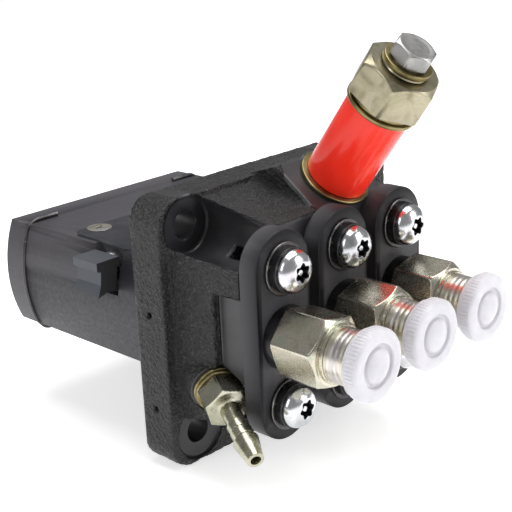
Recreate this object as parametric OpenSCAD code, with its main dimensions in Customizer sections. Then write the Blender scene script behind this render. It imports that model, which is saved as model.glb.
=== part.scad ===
// Three-outlet in-line diesel injection pump, flange mounted and driven by the engine's cam.
// +X runs along the row of outlets, the outlets point along -Y, +Z is up.
// The origin is the centre of the four flange holes, on the flange's rear mounting face.

/* [Casting] */
// Width of the mounting flange
flange_w = 78; // [76:0.5:84]
// Thickness of the mounting flange
flange_t = 11; // [9:0.5:12]
// Height of the flange's top edge above the hole pattern's centre
flange_top = 36.5; // [36:0.5:39]
// Depth of the flange's bottom edge below the hole pattern's centre
flange_bottom = 37.5; // [37:0.5:40]
// Side of the square pattern of the flange holes
hole_pitch = 57.5; // [57:0.5:59]
// Diameter of the flange holes
hole_d = 7.5; // [6.6:0.1:8.4]
// Distance from the mounting face to the front face of the casting
body_front = 32.6; // [32:0.1:34]
// Height of the outlets' axes above the hole pattern's centre
outlet_z = 3.4; // [3:0.1:4]

/* [Spigot] */
// Diameter of the round spigot behind the flange
spigot_d = 73; // [73:0.5:75]
// Height between the spigot's two flats
spigot_h = 30.8; // [30.6:0.1:32]
// Length of the spigot
spigot_len = 60.5; // [60:0.5:64]

/* [Outlets] */
// Distance between neighbouring outlets
pitch = 23; // [23:0.1:23.4]
// Width across flats of the delivery valve holders
holder_af = 17; // [16:0.5:17.5]
// Diameter of the outlet thread
outlet_d = 14; // [13:0.5:14]
// Diameter of the protective caps
cap_d = 18.3; // [17.5:0.1:19]
// Turn of each holder's hexagon about its axis
hex_turn = [48, 17, 12]; // [0:1:59]

/* [Inlet] */
// Lean of the inlet bolt away from upright
inlet_tilt = 36; // [34:1:38]
// Diameter of the plastic transit sleeve
transit_d = 17.3; // [16.5:0.1:18]
// Length of the plastic transit sleeve
transit_len = 25.2; // [22:0.2:27]
// Width across flats of the inlet bolt
inlet_af = 19; // [18:0.5:19]

/* [Motion] */
// Stroke of each roller tappet
tappet_stroke = 8; // [6:0.5:8]
// Lift of each delivery valve
valve_lift = 1.2; // [0.8:0.1:1.5]

/* [Hidden] */
$fn = 64;

// Colours
cast_black = [0.18, 0.18, 0.19];
machined_black = [0.13, 0.13, 0.15];
zinc_yellow = [0.72, 0.69, 0.52];
zinc_bright = [0.75, 0.77, 0.8];
steel = [0.6, 0.6, 0.62];
brass = [0.6, 0.5, 0.25];
cap_white = [0.93, 0.93, 0.96];
red = [0.95, 0.16, 0.12];

valves = [-1, 0, 1];
hole_at = hole_pitch / 2;
pocket_depth = 9;
spigot_r = spigot_d / 2;
spigot_top = outlet_z + spigot_h / 2;
spigot_bottom = outlet_z - spigot_h / 2;

// Barrel flanges and their screws
bf_r = 9.75;
bf_t = 5.4;
bf_front = body_front + bf_t;
screw_at = 18;
sleeve_d = 15.9;
sleeve_rear = 9;
barrel_d = 11.9;
barrel_front = 24;
barrel_rear = 18;
plunger_d = 6;
fit_gap = 0.03;

// Valve holder, measured forward from the mounting face
collar_len = 3.4;
hex_rear = bf_front + collar_len;
hex_front = 54.8;
thread_end = 66;
seat_t = 3.5;
holder_bore_d = 7.6;
duct_d = 2.4;
cap_t = 3.2;
cap_front = 67.3;

// Running gear behind the mounting face
gear_chamber_d = 18.6;
gear_chamber_front = 8;
chamber_d = 19.4;
tappet_d = 19.5;
tappet_bore_from = 30;
tappet_front = 44;
tappet_rear = 66;
roller_y = 62.5;
roller_d = 13;
roller_w = 8;
pin_d = 5;
plunger_front = -barrel_front + tappet_stroke + 0.5;
vane_y = 31.5;
upper_seat_y = 20;
upper_seat_t = 1.5;
lower_seat_y = 42;
sleeve_front = 10;
sleeve_end = 33.5;
guide_y = 52;

// Control rack and the toothed rings of the control sleeves
rack_y = 16;
rack_d = 6;
rack_len = 68;
rack_end_w = 10;
gear_r = 8.6;
gear_teeth = 25;
gear_w = 5;
tooth_pitch = 2 * PI * gear_r / gear_teeth;
rack_teeth = 9;
rack_z = outlet_z + gear_r + rack_d / 2 - 0.5;

// Wire clip
wire_d = 1.2;
clip_y = 52;

// Inlet bolt: point on the machined facet, in the plane between outlets 2 and 3
inlet_at = [pitch / 2, -26, 34.4];
inlet_washer_t = 1.2;
top_washer_t = 1.1;
inlet_hex_h = 10.6;
inlet_shank_d = 10;
inlet_top = inlet_washer_t + transit_len;
hex_from = inlet_top + 2 * top_washer_t;
bleed_from = hex_from + inlet_hex_h + 0.6;
bleed_washer_t = 1.5;

// Cover plate, and the blind dowel holes in the flange's left side
plate_t = 1.3;
plate_screw_xs = [-25.7, 25.7];
plate_screw_y = 29;
dowel_zs = [6, -20.5];
dowel_y = 5.2;

// Barrel flange screws
head_d = 11;
head_h = 3.6;
washer_d = 13.6;
washer_t = 1;
collar_t = 2;

// Return nipple
nipple_at = [-31.4, -21.3, -11.8];
nipple_dip = 16;
nipple_swing = 26;
nipple_af = 11;
nipple_hex_h = 7;
nipple_washer_t = 1.1;
nipple_len = 28.5;
nipple_thread_d = 6;

// --- shared shapes ---

// Cylinder along Y from y0 to y1
module rod_y(y0, y1, d, fn = 64) {
    translate([0, y0, 0]) rotate([-90, 0, 0]) cylinder(h = y1 - y0, d = d, $fn = fn);
}

// Cylinder along X, centred
module rod_x(len, d) {
    rotate([0, 90, 0]) cylinder(h = len, d = d, center = true);
}

// Hexagonal bar along +Z with chamfered corners at its top
module hex_bar(af, h, chamfer = 1.1) {
    corner_d = af / cos(30);
    intersection() {
        cylinder(h = h, d = corner_d, $fn = 6);
        union() {
            cylinder(h = h - chamfer, d = corner_d + 1);
            translate([0, 0, h - chamfer]) cylinder(h = chamfer, d1 = corner_d, d2 = af - 0.6);
        }
    }
}

// Outline with straight sides and round ends, on the X-Z plane of one outlet
module oval(r, at) {
    square([2 * r, 2 * at], center = true);
    for (s = [-1, 1]) translate([0, s * at]) circle(r = r);
}

// Rectangle with round corners
module round_rect(x0, x1, y0, y1, r) {
    translate([x0 + r, y0]) square([x1 - x0 - 2 * r, y1 - y0]);
    translate([x0, y0 + r]) square([x1 - x0, y1 - y0 - 2 * r]);
    for (x = [x0 + r, x1 - r], y = [y0 + r, y1 - r]) translate([x, y]) circle(r = r);
}

// Extrudes an X-Z outline along Y from y0 to y1
module slab_y(y0, y1) {
    translate([0, y1, 0]) rotate([90, 0, 0]) linear_extrude(height = y1 - y0) children();
}

// Places children at outlet i (1 to 3), with the outlet's axis as their Y axis
module at_outlet(i) {
    translate([(i - 2) * pitch, 0, outlet_z]) children();
}

module at_each_outlet() {
    for (i = [1 : 3]) at_outlet(i) children();
}

module at_flange_screws() {
    at_each_outlet() for (s = [-1, 1]) translate([0, -bf_front, s * screw_at]) children();
}

// Places children with +Z along the inlet bolt's axis
module at_inlet() {
    translate(inlet_at) rotate([inlet_tilt, 0, 0]) children();
}

// Places children with +Z along the return nipple's axis, away from the casting
module at_nipple() {
    translate(nipple_at) rotate([90 + nipple_dip, 0, -nipple_swing]) children();
}

// --- casting ---

module flange_plate() {
    half = flange_w / 2;
    slab_y(-flange_t, 0) round_rect(-half, half, -flange_bottom, flange_top, 7);
}

// Cast block in front of the flange, tapering towards the barrel flanges
module cast_block() {
    reach = pitch + bf_r;
    hull() {
        for (x = [-1, 1], z = [-17, 21]) {
            translate([x * (reach - 11), 0, z]) rod_y(-flange_t - 0.5, -flange_t + 0.5, 28, 32);
        }
        for (x = [-1, 1], z = [-16, 17.5]) {
            translate([x * (reach - bf_r + 0.6), 0, outlet_z + z])
                rod_y(-body_front, -body_front + 6, 2 * bf_r - 1.2, 32);
        }
    }
}

// Wedge that carries the machined inlet facet, square to the inlet bolt
module inlet_wedge() {
    slope = tan(inlet_tilt);
    facet_y = inlet_at[1];
    facet_z = inlet_at[2];
    rear_y = -18.5;
    left = -3.5;
    right = pitch + bf_r;
    step_x = 24;
    for (run = [[left, step_x, -body_front], [step_x - 1, right, facet_y]]) {
        translate([run[0], 0, 0]) rotate([90, 0, 90]) linear_extrude(height = run[1] - run[0])
            polygon([[-8, 20], [-8, flange_top], [rear_y, facet_z + slope * (rear_y - facet_y)],
                [run[2], facet_z + slope * (run[2] - facet_y)], [run[2], 20]]);
    }
}

module spigot() {
    intersection() {
        translate([0, 0, outlet_z]) rod_y(-1, spigot_len, spigot_d, 128);
        translate([-spigot_r, -1, spigot_bottom]) cube([spigot_d, spigot_len + 1, spigot_h]);
    }
}

// Stepped bore of one outlet: barrel flange, barrel, spring chamber and tappet
module outlet_bore() {
    rod_y(-body_front - 1, -sleeve_rear + 1, sleeve_d + 0.1);
    rod_y(-sleeve_rear, gear_chamber_front + 1, barrel_d + 0.1);
    rod_y(gear_chamber_front, upper_seat_y + 1, gear_chamber_d);
    rod_y(upper_seat_y, tappet_bore_from + 1, chamber_d);
    rod_y(tappet_bore_from, spigot_len + 1, tappet_d + 2 * fit_gap);
}

module housing_cuts() {
    at_each_outlet() outlet_bore();
    at_flange_screws() translate([0, bf_t - 1, 0]) rod_y(0, 12, 5.1);
    // Nothing stands in front of the face that carries the barrel flanges
    translate([-60, -body_front - 20, -60]) cube([120, 20, 120]);
    for (x = [-1, 1], z = [-1, 1]) translate([x * hole_at, 0, z * hole_at]) {
        rod_y(-flange_t - pocket_depth, 1, hole_d);
        rod_y(x + z == 2 ? -flange_t - pocket_depth : -body_front, -flange_t + 1, 15.5);
    }
    // Shallow machined relief beside outlet 1, and its lower continuation
    translate([-pitch - bf_r - 5, -body_front - 1, -8]) cube([6, 9.7, 22.5]);
    // Rack bore, and the window in which the rack's driver block moves
    translate([0, rack_y, rack_z]) rod_x(spigot_d + 4, rack_d + 0.1);
    translate([-spigot_r - 1, rack_y - rack_end_w / 2 - 1.2, rack_z - 7.4])
        cube([spigot_r + 1 - 30.8, rack_end_w + 2.4, 14]);
    // Threaded holes for the inlet bolt and the return nipple, and the nipple's spot face
    at_inlet() translate([0, 0, -12]) cylinder(h = 20, d = inlet_shank_d + 0.1);
    at_inlet() cylinder(h = 12, r = 11.2);
    at_nipple() translate([0, 0, -8]) cylinder(h = 9, d = nipple_thread_d + 0.1);
    at_nipple() cylinder(h = 20, r = 6.9);
    // Screw holes of the cover plate, guide pin holes, and blind dowel holes in the flange's left side
    for (x = plate_screw_xs) translate([x, plate_screw_y, spigot_top - 6]) cylinder(h = 8, d = 3.4);
    for (v = valves) translate([v * pitch, guide_y, spigot_bottom - 1]) cylinder(h = 8, d = 3);
    for (z = dowel_zs) translate([-flange_w / 2, -dowel_y, z]) rod_x(5, 1.8);
    clip_groove();
}

module pump_housing() {
    color(cast_black) difference() {
        union() {
            flange_plate();
            cast_block();
            inlet_wedge();
            at_inlet() translate([0, 0, -14]) cylinder(h = 14, r = 10.9);
            at_nipple() translate([0, 0, -12]) cylinder(h = 12, r = 7.4);
            spigot();
        }
        housing_cuts();
    }
}

// --- outlet pieces ---

module barrel_flange(i) {
    color(machined_black) at_outlet(i) difference() {
        union() {
            slab_y(-bf_front, -body_front) oval(bf_r, screw_at);
            rod_y(-body_front - 1, -sleeve_rear, sleeve_d);
        }
        rod_y(-bf_front - 1, -barrel_front - seat_t, 13.3);
        rod_y(-bf_front, -sleeve_rear + 1, barrel_d + 0.1);
        for (s = [-1, 1]) translate([0, 0, s * screw_at]) rod_y(-bf_front - 1, -body_front + 1, 6.6);
    }
}

module plunger_barrel(i) {
    color(steel) at_outlet(i) difference() {
        rod_y(-barrel_front, barrel_rear, barrel_d);
        rod_y(-barrel_front - 1, barrel_rear + 1, plunger_d + 2 * fit_gap);
        for (x = [-1, 1]) translate([x * 6, -14, 0]) rod_x(8, 2.5);
    }
}

module valve_holder(i) {
    color(zinc_yellow) at_outlet(i) difference() {
        union() {
            rod_y(-bf_front - 1, -barrel_front - seat_t, 13.2);
            rod_y(-hex_rear - 1, -bf_front, holder_af - 0.4);
            translate([0, -hex_rear, 0]) rotate([90, -hex_turn[i - 1], 0])
                hex_bar(holder_af, hex_front - hex_rear);
            rod_y(-hex_front - 1.2, -hex_front + 1, outlet_d + 0.9);
            rod_y(-thread_end + 1, -hex_front, outlet_d);
            translate([0, -thread_end + 1, 0]) rotate([90, 0, 0])
                cylinder(h = 1, d1 = outlet_d, d2 = outlet_d - 2);
        }
        rod_y(-44, -barrel_front, holder_bore_d);
        rod_y(-thread_end - 1, -43, duct_d);
        translate([0, -thread_end - 0.01, 0]) rotate([-90, 0, 0]) cylinder(h = 3, d1 = 8, d2 = duct_d);
    }
}

module valve_seats() {
    color(steel) at_each_outlet() difference() {
        rod_y(-barrel_front - seat_t, -barrel_front, 11.8);
        rod_y(-barrel_front - seat_t - 1, -barrel_front + 1, 4 + 2 * fit_gap);
    }
}

// Spindle with a mushroom head that closes on the seat's front face
module delivery_valve(i) {
    seat_y = -barrel_front - seat_t;
    color(steel) at_outlet(i) {
        rod_y(seat_y - 0.5, -barrel_front - 0.6, 4);
        rod_y(seat_y - 2.1, seat_y - 0.1, 6);
        rod_y(seat_y - 4, seat_y - 2, 3);
    }
}

module delivery_spring(i) {
    color(steel) at_outlet(i) difference() {
        rod_y(-43.8, -barrel_front - seat_t - 2.2, 6.8);
        rod_y(-44, -barrel_front, 4.4);
    }
}

// Knurled cap that covers the end of the outlet thread
module outlet_cap(i) {
    color(cap_white) at_outlet(i) difference() {
        union() {
            rod_y(-cap_front + 0.8, -cap_front + cap_t, cap_d);
            translate([0, -cap_front + 0.8, 0]) rotate([90, 0, 0])
                cylinder(h = 0.8, d1 = cap_d, d2 = cap_d - 1.6);
            rod_y(-cap_front + cap_t - 1, -thread_end + 3.4, outlet_d + 2.6);
        }
        rod_y(-thread_end - 0.05, -thread_end + 5, outlet_d + 2 * fit_gap);
        translate([0, -cap_front + 0.7, 0]) rotate([90, 0, 0])
            rotate_extrude() translate([4.2, 0]) square([1.2, 2]);
    }
}

// --- running gear ---

module plunger(i) {
    color(steel) at_outlet(i) {
        rod_y(plunger_front, lower_seat_y - 0.4, plunger_d);
        translate([-5.6, vane_y - 1.5, -1]) cube([11.2, 3, 2]);
        rod_y(lower_seat_y - 0.5, lower_seat_y + 1.6, 8);
    }
}

// Sleeve round the barrel's rear end, with a toothed ring and a slot for the plunger's vane
module control_sleeve(i) {
    color(steel) at_outlet(i) difference() {
        union() {
            rod_y(sleeve_front, sleeve_end, 14.4);
            difference() {
                rod_y(rack_y - gear_w / 2, rack_y + gear_w / 2, 2 * gear_r + 1.2, 96);
                for (k = [0 : gear_teeth - 1]) rotate([0, 90 + (k + 0.5) * 360 / gear_teeth, 0])
                    translate([gear_r + 0.25, rack_y, 0]) cube([1.6, gear_w + 1, 1.3], center = true);
            }
        }
        rod_y(sleeve_front - 1, sleeve_end + 1, barrel_d + 2 * fit_gap);
        translate([-8, barrel_rear + 1, -1.05]) cube([16, 20, 2.1]);
    }
}

module spring_tube(y0, y1, d, wire) {
    difference() {
        rod_y(y0, y1, d);
        rod_y(y0 - 1, y1 + 1, d - 2 * wire);
    }
}

module plunger_spring(i) {
    color(steel) at_outlet(i)
        spring_tube(upper_seat_y + upper_seat_t + 0.1, lower_seat_y - 0.2, 18, 1.6);
}

module upper_seats() {
    color(steel) at_each_outlet() difference() {
        rod_y(upper_seat_y, upper_seat_y + upper_seat_t, chamber_d - 0.1);
        rod_y(upper_seat_y - 1, upper_seat_y + 3, 14.9);
    }
}

module lower_seat(i) {
    color(steel) at_outlet(i) difference() {
        rod_y(lower_seat_y - 0.1, tappet_front, 18.6);
        rod_y(lower_seat_y - 1, tappet_front + 1, 8.2);
    }
}

module tappet(i) {
    fork_w = roller_w + 0.6;
    color(steel) at_outlet(i) difference() {
        rod_y(tappet_front, tappet_rear, tappet_d);
        translate([-fork_w / 2, roller_y - roller_d / 2 - 0.8, -tappet_d]) cube([fork_w, 20, 2 * tappet_d]);
        translate([0, roller_y, 0]) rod_x(tappet_d + 2, pin_d + 0.02);
        translate([-1.6, guide_y - 1.6, -tappet_d / 2 - 1]) cube([3.2, tappet_stroke + 20, 2.6]);
        rod_y(tappet_front - 1, tappet_front + 4, 6);
    }
}

module roller_pin(i) {
    color(steel) at_outlet(i) translate([0, roller_y, 0]) rod_x(15.6, pin_d);
}

module roller(i) {
    color(steel) at_outlet(i) translate([0, roller_y, 0]) difference() {
        rod_x(roller_w, roller_d);
        rod_x(roller_w + 1, pin_d + 2 * fit_gap);
    }
}

module guide_pins() {
    color(steel) for (v = valves) translate([v * pitch, guide_y, spigot_bottom]) cylinder(h = 7.2, d = 2.9);
}

// --- wire clip round the spigot ---

clip_r = spigot_r - 0.3;
clip_lift = wire_d / 2 + 0.05;
clip_bend = asin((spigot_h / 2 - 1) / clip_r);
clip_corner = [clip_r * cos(clip_bend) - 2.6, spigot_h / 2 + clip_lift];

// Right half of the clip's route in the X-Z plane, from its hooked end to the middle underneath
clip_half = concat(
    [[pitch, spigot_h / 2 + clip_lift], [pitch + 5, spigot_h / 2 + clip_lift], clip_corner],
    [for (k = [0 : 24]) let (a = clip_bend * (1 - k / 12)) [clip_r * cos(a), clip_r * sin(a)]],
    [[clip_corner[0], -clip_corner[1]]]);
clip_path = concat(clip_half, [for (k = [len(clip_half) - 1 : -1 : 0]) [-clip_half[k][0], clip_half[k][1]]]);

// Closed tube along a route in the X-Z plane
module flat_tube(path, d, sides = 10) {
    last = len(path) - 1;
    rings = [for (k = [0 : last]) let (
        t = path[min(k + 1, last)] - path[max(k - 1, 0)],
        n = [-t[1], t[0]] / norm(t))
        for (j = [0 : sides - 1]) let (a = 360 * j / sides, out = n * (d / 2 * cos(a)))
            [path[k][0] + out[0], d / 2 * sin(a), path[k][1] + out[1]]];
    walls = [for (k = [0 : last - 1], j = [0 : sides - 1]) let (next = (j + 1) % sides)
        for (f = [[k * sides + j, k * sides + next, (k + 1) * sides + next],
            [k * sides + j, (k + 1) * sides + next, (k + 1) * sides + j]]) f];
    ends = [[for (j = [sides - 1 : -1 : 0]) j], [for (j = [0 : sides - 1]) last * sides + j]];
    polyhedron(points = rings, faces = concat(walls, ends));
}

module wire_clip() {
    color(steel) translate([0, clip_y, outlet_z]) flat_tube(clip_path, wire_d);
}

// Groove for the clip in the spigot's round sides, and notches where it crosses the flats' edges
module clip_groove() {
    for (x = [0, 1], z = [0, 1]) translate([0, clip_y, outlet_z]) mirror([x, 0, 0]) mirror([0, 0, z])
        slab_y(-wire_d / 2 - 0.05, wire_d / 2 + 0.05)
            polygon([[30, 15.6], [32.8, 13.5], [37, 13.5], [37, 15.6]]);
    for (x = [0, 1]) mirror([x, 0, 0]) translate([0, clip_y, outlet_z]) rotate([90, 0, 0])
        rotate([0, 0, -40]) rotate_extrude(angle = 80, $fn = 128)
            translate([clip_r, 0]) circle(d = wire_d + 0.1, $fn = 16);
}

// --- control rack ---

module control_rack() {
    color(steel) difference() {
        translate([0, rack_y, rack_z]) rod_x(rack_len, rack_d);
        for (v = valves, k = [-rack_teeth / 2 : rack_teeth / 2])
            translate([v * pitch + k * tooth_pitch, rack_y, rack_z - rack_d / 2 + 0.5])
                cube([1.25, rack_d + 1, 1.4], center = true);
    }
}

// Driver block on the rack's left end: a broad head on a waisted, splayed foot
module rack_end() {
    color(machined_black) translate([-rack_len / 2, rack_y + rack_end_w / 2, rack_z])
        rotate([90, 0, 0]) linear_extrude(height = rack_end_w) polygon([
            [0, 3], [-7.6, 3], [-7.6, 0.6], [-6.4, 0.2], [-6.8, -3.4], [-8, -6.6], [-4, -5.6],
            [-0.6, -6.6], [-1.4, -3.2], [-1, 0.2], [0, 0.6]]);
}

// --- cover plate on the spigot's upper flat ---

module cover_plate() {
    color(machined_black) difference() {
        translate([0, 0, spigot_top]) linear_extrude(height = plate_t)
            round_rect(-31.6, 31.6, 2.2, 32, 0.6);
        for (x = plate_screw_xs) translate([x, plate_screw_y, spigot_top]) {
            translate([0, 0, -1]) cylinder(h = 4, d = 4.2);
            translate([0, 0, plate_t - 1.25]) cylinder(h = 1.3, d1 = 4.6, d2 = 7.2);
        }
    }
}

module plate_screws() {
    color(zinc_bright) for (x = plate_screw_xs) translate([x, plate_screw_y, spigot_top]) difference() {
        union() {
            translate([0, 0, -5]) cylinder(h = 5.5, d = 3.3);
            translate([0, 0, plate_t - 1.2]) cylinder(h = 1.15, d1 = 4.6, d2 = 7);
        }
        for (a = [20, 110]) rotate([0, 0, a]) translate([0, 0, plate_t]) cube([3.4, 0.9, 1.6], center = true);
    }
}

// --- barrel flange screws ---

// Domed head with a six-lobed socket and a centre pin
module flange_screws() {
    seat_z = washer_t + collar_t;
    top_z = seat_z + head_h;
    color(zinc_bright) at_flange_screws() rotate([90, 0, 0]) difference() {
        rotate_extrude() polygon([[0, -11], [2.5, -11], [2.5, seat_z], [head_d / 2, seat_z],
            [head_d / 2 - 0.5, seat_z + 1.6], [head_d / 2 - 1.4, top_z - 0.7],
            [head_d / 2 - 2.6, top_z], [0, top_z]]);
        translate([0, 0, top_z - 2.2]) linear_extrude(height = 3) difference() {
            union() {
                circle(d = 3.9);
                for (a = [0 : 60 : 300]) rotate(a) translate([2, 0]) circle(d = 1.3);
            }
            circle(d = 1.6);
        }
    }
}

module screw_washers() {
    color(machined_black) at_flange_screws() difference() {
        rod_y(-washer_t, 0, washer_d);
        rod_y(-washer_t - 1, 1, 6.2);
    }
}

module screw_collars() {
    color(machined_black) at_flange_screws() difference() {
        rod_y(-washer_t - collar_t, -washer_t, 12);
        rod_y(-washer_t - collar_t - 1, 0, 6.2);
    }
}

// --- inlet bolt and transit sleeve ---

module ring_z(z, h, d, bore) {
    translate([0, 0, z]) difference() {
        cylinder(h = h, d = d);
        translate([0, 0, -1]) cylinder(h = h + 2, d = bore);
    }
}

module inlet_washers() {
    color(brass) at_inlet() {
        ring_z(0, inlet_washer_t, 20.8, inlet_shank_d + 0.2);
        ring_z(inlet_top, top_washer_t, 19.4, inlet_shank_d + 0.2);
        ring_z(inlet_top + top_washer_t, top_washer_t, 17.6, inlet_shank_d + 0.2);
    }
}

module transit_sleeve() {
    color(red) at_inlet() ring_z(inlet_washer_t, transit_len, transit_d, inlet_shank_d + 0.2);
}

module inlet_bolt() {
    color(zinc_yellow) at_inlet() difference() {
        union() {
            translate([0, 0, -11]) cylinder(h = hex_from + 12, d = inlet_shank_d);
            translate([0, 0, hex_from]) rotate([0, 0, 30]) hex_bar(inlet_af, inlet_hex_h, 1.6);
            translate([0, 0, bleed_from - 0.8]) cylinder(h = 0.8, d = 12);
        }
        translate([0, 0, -12]) cylinder(h = 20, d = 5);
        translate([0, 0, hex_from + 2]) cylinder(h = 20, d = 5.1);
        for (a = [0, 90]) translate([0, 0, 4]) rotate([0, 0, a]) rod_x(14, 3);
    }
}

module bleed_washer() {
    color(brass) at_inlet() ring_z(bleed_from, bleed_washer_t, 13.2, 6.2);
}

module bleed_screw() {
    color(zinc_bright) at_inlet() translate([0, 0, bleed_from + bleed_washer_t]) {
        translate([0, 0, -9]) cylinder(h = 9.5, d = 5);
        cylinder(h = 0.5, d = 9.4);
        translate([0, 0, 0.4]) rotate([0, 0, 24]) hex_bar(10, 4, 0.6);
    }
}

// --- return nipple ---

module nipple_washers() {
    color(brass) at_nipple() {
        ring_z(0, nipple_washer_t, 13, nipple_thread_d + 0.2);
        ring_z(nipple_washer_t + 0.1, nipple_washer_t - 0.1, 12.6, nipple_thread_d + 0.2);
    }
}

module return_nipple() {
    hex_z = 2 * nipple_washer_t;
    stem_z = hex_z + nipple_hex_h;
    cone_z = stem_z + 12.5;
    color(zinc_yellow) at_nipple() difference() {
        union() {
            translate([0, 0, -7]) cylinder(h = 8 + hex_z, d = nipple_thread_d);
            translate([0, 0, hex_z]) rotate([0, 0, 10]) hex_bar(nipple_af, nipple_hex_h, 0.6);
            translate([0, 0, stem_z - 1]) cylinder(h = 14, d = 5);
            for (z = [7.6, 10.2]) translate([0, 0, stem_z + z - 1.2]) cylinder(h = 2.3, d1 = 5.9, d2 = 5.2);
            translate([0, 0, cone_z - 0.6]) cylinder(h = 0.6, d1 = 5.2, d2 = 6.6);
            translate([0, 0, cone_z]) cylinder(h = nipple_len - cone_z, d1 = 6.6, d2 = 4.2);
        }
        translate([0, 0, -8]) cylinder(h = 40, d = 2.5);
    }
}

pump_housing();
barrel_flange(1);  // barrel_flange_1
barrel_flange(2);  // barrel_flange_2
barrel_flange(3);  // barrel_flange_3
plunger_barrel(1);  // plunger_barrel_1
plunger_barrel(2);  // plunger_barrel_2
plunger_barrel(3);  // plunger_barrel_3
valve_holder(1);  // valve_holder_1
valve_holder(2);  // valve_holder_2
valve_holder(3);  // valve_holder_3
valve_seats();
delivery_valve(1);  // delivery_valve_1
delivery_valve(2);  // delivery_valve_2
delivery_valve(3);  // delivery_valve_3
delivery_spring(1);  // delivery_spring_1
delivery_spring(2);  // delivery_spring_2
delivery_spring(3);  // delivery_spring_3
outlet_cap(1);  // outlet_cap_1
outlet_cap(2);  // outlet_cap_2
outlet_cap(3);  // outlet_cap_3
plunger(1);  // plunger_1
plunger(2);  // plunger_2
plunger(3);  // plunger_3
control_sleeve(1);  // control_sleeve_1
control_sleeve(2);  // control_sleeve_2
control_sleeve(3);  // control_sleeve_3
plunger_spring(1);  // plunger_spring_1
plunger_spring(2);  // plunger_spring_2
plunger_spring(3);  // plunger_spring_3
upper_seats();
lower_seat(1);  // lower_seat_1
lower_seat(2);  // lower_seat_2
lower_seat(3);  // lower_seat_3
tappet(1);  // tappet_1
tappet(2);  // tappet_2
tappet(3);  // tappet_3
roller_pin(1);  // roller_pin_1
roller_pin(2);  // roller_pin_2
roller_pin(3);  // roller_pin_3
roller(1);  // roller_1
roller(2);  // roller_2
roller(3);  // roller_3
guide_pins();
wire_clip();
control_rack();
rack_end();
cover_plate();
plate_screws();
flange_screws();
screw_washers();
screw_collars();
inlet_washers();
transit_sleeve();
inlet_bolt();
bleed_washer();
bleed_screw();
return_nipple();
nipple_washers();
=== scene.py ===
import math

import bmesh
import bpy
from mathutils import Matrix, Vector, noise


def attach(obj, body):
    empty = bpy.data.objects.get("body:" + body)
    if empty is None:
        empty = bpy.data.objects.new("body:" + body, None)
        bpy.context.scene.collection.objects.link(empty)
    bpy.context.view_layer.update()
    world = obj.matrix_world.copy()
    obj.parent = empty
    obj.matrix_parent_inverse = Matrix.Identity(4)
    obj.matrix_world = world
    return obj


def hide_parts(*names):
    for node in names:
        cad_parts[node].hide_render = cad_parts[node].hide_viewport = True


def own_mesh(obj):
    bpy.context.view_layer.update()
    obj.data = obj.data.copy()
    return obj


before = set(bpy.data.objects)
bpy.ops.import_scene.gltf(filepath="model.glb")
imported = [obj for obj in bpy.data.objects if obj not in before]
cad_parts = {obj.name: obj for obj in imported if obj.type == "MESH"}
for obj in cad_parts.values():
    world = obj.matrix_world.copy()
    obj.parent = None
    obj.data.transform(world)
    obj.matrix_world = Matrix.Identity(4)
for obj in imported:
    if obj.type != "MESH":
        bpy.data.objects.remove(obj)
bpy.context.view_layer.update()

MM = 0.001
TAU = 2 * math.pi

# Sizes of the pump in millimetres, the same as the CAD part's
PITCH = 23.0
OUTLET_X = (-PITCH, 0.0, PITCH)
OUTLET_Z = 3.4
BODY_FRONT = 32.6
FLANGE_FRONT = 38.0
SCREW_AT = 18.0
HOLE_AT = 28.75
HOLE_R = 3.75
SPOT_FACE_R = 8.25
SPIGOT_FLAT = 15.4
CLIP_Y = 52.0
FLOOR_Z = -37.5
FLOOR_SIZE = 6000.0
SPIGOT_TOP = OUTLET_Z + SPIGOT_FLAT
INLET_AT = Vector((11.5, -26.0, 34.4))
INLET_TILT = math.radians(36)
NIPPLE_AT = Vector((-31.4, -21.3, -11.8))
NIPPLE_DIP = math.radians(16)
NIPPLE_SWING = math.radians(26)
HEX_TURN = (48, 17, 12)


# --- places ---

def place(origin, z_axis):
    """Matrix with local +Z along z_axis and local +X along the row of outlets."""
    z = Vector(z_axis).normalized()
    x = Vector((1, 0, 0))
    y = z.cross(x)
    m = Matrix((x, y, z)).transposed().to_4x4()
    m.translation = origin
    return m


def outlet(i, z=0.0, y=0.0):
    return place((OUTLET_X[i], -y, OUTLET_Z + z), (0, -1, 0))


AT_INLET = place(INLET_AT, (0, -math.sin(INLET_TILT), math.cos(INLET_TILT)))
AT_NIPPLE = (Matrix.Translation(NIPPLE_AT) @ Matrix.Rotation(-NIPPLE_SWING, 4, "Z")
             @ Matrix.Rotation(math.pi / 2 + NIPPLE_DIP, 4, "X"))


# --- mesh tools ---

def finish_mesh(name, verts, faces, angle=32):
    mesh = bpy.data.meshes.new(name)
    mesh.from_pydata([v * MM for v in verts], [], faces)
    bm = bmesh.new()
    bm.from_mesh(mesh)
    bmesh.ops.remove_doubles(bm, verts=bm.verts, dist=1e-7)
    bmesh.ops.recalc_face_normals(bm, faces=bm.faces)
    bm.to_mesh(mesh)
    bm.free()
    smooth(mesh, angle)
    obj = bpy.data.objects.new(name, mesh)
    bpy.context.scene.collection.objects.link(obj)
    return obj


def smooth(mesh, angle):
    mesh.shade_smooth()
    mesh.set_sharp_from_angle(angle=math.radians(angle))


def soften(points, radius, closed=False, steps=4):
    """Rounds the corners of a profile of (z, r) points."""
    out = []
    count = len(points)
    for k, p in enumerate(points):
        p = Vector(p)
        if not closed and k in (0, count - 1):
            out.append(tuple(p))
            continue
        a = Vector(points[(k - 1) % count])
        b = Vector(points[(k + 1) % count])
        cut = min(radius, 0.45 * (a - p).length, 0.45 * (b - p).length)
        start = p + (a - p).normalized() * cut
        end = p + (b - p).normalized() * cut
        for s in range(steps + 1):
            t = s / steps
            q = (1 - t) ** 2 * start + 2 * t * (1 - t) * p + t * t * end
            out.append((q.x, q.y))
    return out


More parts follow.
